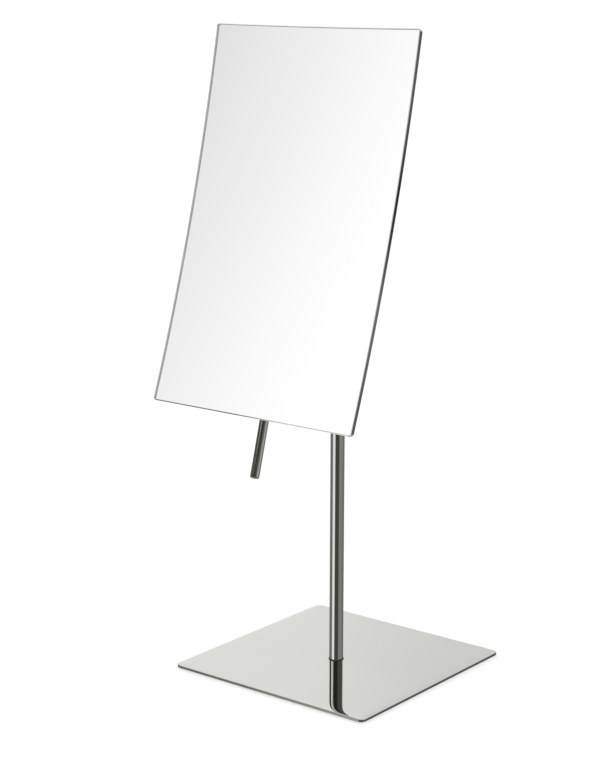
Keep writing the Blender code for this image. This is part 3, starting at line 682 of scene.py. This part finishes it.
# ---------------------------------------------------------------- studio
# Panels of the room that polished pieces reflect, each laid over the ones before it.
# A row is (brightness, (direction, half width, softness), (lowest, highest, softness)), in degrees.
# Direction 0 is -Y and 90 is +X. A panel without a direction goes all the way round.
ROOM_LEVEL = 0.16
ROOM_PANELS = (
    (0.055, (36, 30, 6), (-90, 2, 6)),            # dark wall, front right
    (0.21, (100, 30, 8), (-90, 2, 6)),            # grey wall, right
    (0.04, (142, 16, 8), (-8.5, -5.5, 1.5)),      # dark line, back right
    (0.23, (142, 16, 8), (-12.5, -9.5, 0.8)),     # grey line under it
    (0.80, (-19, 20, 4), (-90, -6, 4)),           # low bright panel, front left
    (0.38, (106, 24, 8), (-13, -1, 2)),           # grey strip, right
    (0.06, (-10, 120, 10), (-2, 30, 4)),          # dark wall above the horizon, front
    (0.025, (28, 32, 10), (10, 28, 6)),           # its darkest part
    (0.09, (105, 40, 10), (4, 34, 6)),            # its right end
    (0.17, (78, 14, 8), (0, 8, 3)),               # grey patch at its foot
    (0.75, None, (-90, -25, 2.5)),                # bright floor
    (1.05, (-50, 11.1, 1.0), (-9, 4, 2)),         # white panel at the horizon, front left
)
SKY_PANELS = (
    (1.07, (-146, 40, 8), (8, 90, 4)),            # white panel, back left
    (0.88, (-165, 21, 5), (8, 40, 4)),            # its duller end
    (1.10, None, (52, 95, 12)),                   # white ceiling
)
ROOM_GREEN = 1.004            # green against red in the room's panels
ROOM_BLUE = 0.009             # how much less blue than red they hold
OPEN_WHITE = 1.05             # brightness of the plain studio that the camera and matt surfaces see
FLOOR_RADIUS = 40.0
FLOOR_GLOW = 0.42             # the floor's own glow, which with the light that falls on it makes it white
FILL_RADIUS = 300.0
FILL_LEVEL = 0.84             # middle of the light walls that the mirror sees for the room's dark side
FILL_SWING = 0.10             # how far their brightness swings about it
FILL_WAVES = (9.0, 4.5, 9.0)  # how fast it swings, in radians along X, Y and Z
FILL_PHASE = 4.63
DEGREES = 180 / math.pi       # degrees in a radian


class Room:
    """Masks over the directions of a room, built from the nodes of a direction vector."""

    def __init__(self, nodes, vector):
        self.nodes = nodes
        separate = nodes.add("ShaderNodeSeparateXYZ")
        nodes.link(vector, separate.inputs[0])
        self.x, self.y, self.z = separate.outputs
        self.height = nodes.math("MULTIPLY", nodes.math("ARCSINE", self.z), DEGREES)

    def compass(self, centre):
        """Degrees from the compass direction centre."""
        n = self.nodes
        c, s = math.cos(math.radians(centre)), math.sin(math.radians(centre))
        across = n.math("ADD", n.math("MULTIPLY", self.x, c), n.math("MULTIPLY", self.y, s))
        ahead = n.math("SUBTRACT", n.math("MULTIPLY", self.x, s), n.math("MULTIPLY", self.y, c))
        return n.math("MULTIPLY", n.math("ARCTAN2", across, ahead), DEGREES)

    def band(self, centre, half, soft):
        """1 within half degrees of the compass direction centre, 0 outside."""
        away = self.nodes.math("ABSOLUTE", self.compass(centre))
        return self.nodes.map_range(away, half - soft, half + soft, 1.0, 0.0)

    def between(self, low, high, soft):
        """1 from low to high degrees of height, 0 outside."""
        rise = self.nodes.map_range(self.height, low - soft, low + soft)
        fall = self.nodes.map_range(self.height, high - soft, high + soft, 1.0, 0.0)
        return self.nodes.math("MULTIPLY", rise, fall)

    def clear_of_lever(self):
        """0 on the narrow circle of directions that the lever reflects, 1 elsewhere."""
        n = self.nodes
        lean, clear_from, clear_to = 0.04, 0.035, 0.055
        along_lever = n.math("ADD", n.math("MULTIPLY", self.y, math.sin(REST_TILT)),
                             n.math("MULTIPLY", self.z, math.cos(REST_TILT)))
        away = n.math("ABSOLUTE", n.math("ADD", along_lever, lean))
        return n.map_range(away, clear_from, clear_to)

    def panels(self, level, rows):
        """Lay the panels of a table over level, in its order."""
        for value, sector, heights in rows:
            masks = [self.band(*sector)] if sector else []
            level = self.nodes.over(level, value, *masks, self.between(*heights))
        return level

    def sky(self, level):
        """A light sky above the horizon, seen in first reflections only and not by the lever."""
        n = self.nodes
        depth = n.add("ShaderNodeLightPath").outputs["Glossy Depth"]
        first = n.math("LESS_THAN", depth, 1.5)
        brightness = n.map_range(self.height, 5.0, 45.0, to_low=0.72, to_high=0.95)
        above = n.map_range(self.height, 3.0, 7.0)
        return n.over(level, brightness, first, self.clear_of_lever(), above)

    def front_panel(self, level):
        """The large panel that fills the mirror, brighter towards its left and its top."""
        n = self.nodes
        leftwards = n.map_range(self.compass(-30), -14, -3, to_low=1.07, to_high=0.655, kind="LINEAR")
        upwards = n.map_range(self.height, 14.0, 20.0, to_low=0.95, to_high=1.08)
        brightness = n.math("MULTIPLY", leftwards, upwards)
        return n.over(level, brightness, self.band(-31, 18, 4.5), self.between(12.6, 60, 1.1))


def room_level(nodes, vector):
    """Brightness of the reflected room in the direction of vector."""
    room = Room(nodes, vector)
    level = room.panels(ROOM_LEVEL, ROOM_PANELS)
    level = room.front_panel(room.sky(level))
    return room.panels(level, SKY_PANELS)


def make_world():
    """A white studio for the eye and for soft light; reflections show a room with a dark side."""
    world = bpy.data.worlds.new("studio")
    bpy.context.scene.world = world
    world.use_nodes = True
    world.node_tree.nodes.clear()
    n = Nodes(world.node_tree)
    level = room_level(n, n.add("ShaderNodeTexCoord").outputs["Generated"])
    studio = n.add("ShaderNodeBackground")
    tint = n.add("ShaderNodeCombineColor")
    n.link(level, tint.inputs["Red"])
    n.link(n.math("MULTIPLY", level, ROOM_GREEN), tint.inputs["Green"])
    n.link(n.math("SUBTRACT", level, ROOM_BLUE), tint.inputs["Blue"])
    n.link(tint.outputs["Color"], studio.inputs["Color"])
    plain = n.add("ShaderNodeBackground")
    plain.inputs["Color"].default_value = (1.0, 1.0, 1.0, 1.0)
    plain.inputs["Strength"].default_value = OPEN_WHITE
    mix = n.add("ShaderNodeMixShader")
    n.link(n.add("ShaderNodeLightPath").outputs["Is Glossy Ray"], mix.inputs["Fac"])
    n.link(plain.outputs["Background"], mix.inputs[1])
    n.link(studio.outputs["Background"], mix.inputs[2])
    n.link(mix.outputs["Shader"], n.add("ShaderNodeOutputWorld").inputs["Surface"])


def fill_glow():
    """A see-through glow that raises the room's dark side to light, softly uneven walls."""
    mat = bpy.data.materials.new("mirror_fill")
    mat.use_nodes = True
    mat.node_tree.nodes.clear()
    mat.cycles.emission_sampling = "NONE"
    n = Nodes(mat.node_tree)
    unit = n.add("ShaderNodeVectorMath", operation="NORMALIZE")
    n.link(n.add("ShaderNodeTexCoord").outputs["Object"], unit.inputs[0])
    along = n.add("ShaderNodeVectorMath", operation="DOT_PRODUCT")
    n.link(unit.outputs[0], along.inputs[0])
    along.inputs[1].default_value = FILL_WAVES
    swing = n.math("SINE", n.math("ADD", along.outputs["Value"], FILL_PHASE))
    walls = n.math("ADD", n.math("MULTIPLY", swing, FILL_SWING), FILL_LEVEL)
    glow = n.add("ShaderNodeEmission")
    missing = n.math("SUBTRACT", walls, room_level(n, unit.outputs[0]), clamp=True)
    n.link(missing, glow.inputs["Strength"])
    both = n.add("ShaderNodeAddShader")
    n.link(glow.outputs[0], both.inputs[0])
    n.link(n.add("ShaderNodeBsdfTransparent").outputs[0], both.inputs[1])
    n.link(both.outputs[0], n.add("ShaderNodeOutputMaterial").inputs["Surface"])
    return mat


def make_mirror_fill(glass):
    """A far shell that glows for the mirror alone where the room is dark; all else looks through it."""
    bm = bmesh.new()
    bmesh.ops.create_icosphere(bm, subdivisions=4, radius=FILL_RADIUS)
    shell = finish_mesh("mirror_fill", bm, [fill_glow()])
    shell.location = HINGE
    shell.visible_camera = False
    shell.visible_diffuse = False
    shell.visible_transmission = False
    shell.visible_shadow = False
    lit = bpy.data.collections.new("lit_by_fill")
    lit.objects.link(glass)
    shell.light_linking.receiver_collection = lit


def make_floor():
    """A wide pale floor that takes soft shadows; the room's reflections come from the world."""
    mat, nodes, shader, where = new_material("pale_floor", 0.0)
    tone = nodes.noise(where, scale=3.0, detail=2.0)
    pale = nodes.colours(tone, (0.59, 0.59, 0.59), (0.61, 0.61, 0.61), stops=(0.0, 1.0))
    nodes.link(pale, shader.inputs["Base Color"])
    shader.inputs["Emission Color"].default_value = (1.0, 1.0, 1.0, 1.0)
    shader.inputs["Emission Strength"].default_value = FLOOR_GLOW
    shader.inputs["Roughness"].default_value = 0.9
    shader.inputs["Specular IOR Level"].default_value = 0.0
    bm = bmesh.new()
    bmesh.ops.create_circle(bm, cap_ends=True, segments=SIDES, radius=FLOOR_RADIUS)
    floor = finish_mesh("floor", bm, [mat], Matrix.Translation((0, 0, -GAP)))
    floor.visible_glossy = False


def make_light():
    """One broad soft light from the front left, seen only by matt surfaces."""
    data = bpy.data.lights.new("soft_key", "SUN")
    data.energy = 0.06
    data.angle = math.radians(50)
    light = bpy.data.objects.new("soft_key", data)
    towards_light = Vector((-0.45, -0.6, 1.0))
    light.rotation_euler = towards_light.to_track_quat("Z", "Y").to_euler()
    light.visible_glossy = False
    bpy.context.scene.collection.objects.link(light)


def make_camera():
    """The camera stands front right of the mirror, a little above it."""
    azimuth, pitch, roll = (math.radians(angle) for angle in (38.233, 12.428, 0.17))
    distance = 1.1118
    aim = Vector((-0.01545, -0.01212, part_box("base_plate")[1].z + 0.1696))
    level = math.cos(pitch)
    back = Vector((math.sin(azimuth) * level, -math.cos(azimuth) * level, math.sin(pitch)))
    data = bpy.data.cameras.new("camera")
    data.sensor_width = 36.0
    data.lens = 88.75
    camera = bpy.data.objects.new("camera", data)
    camera.location = aim + back * distance
    camera.rotation_mode = "QUATERNION"
    rolled = Matrix.Rotation(roll, 3, "Z").to_quaternion()
    camera.rotation_quaternion = back.to_track_quat("Z", "Y") @ rolled
    bpy.context.scene.collection.objects.link(camera)
    bpy.context.scene.camera = camera


bpy.context.scene.view_settings.view_transform = "Standard"
make_camera()
make_world()
make_floor()
make_light()
make_plate()
make_pad()
make_tube()
make_gasket()
make_collar()
make_rod()
make_elbow()
make_elbow_cap()
make_arm()
make_mirror_fill(make_glass())
make_tray()
make_bracket()
make_bolt()
make_nut()
make_lever()
paint_nodes()
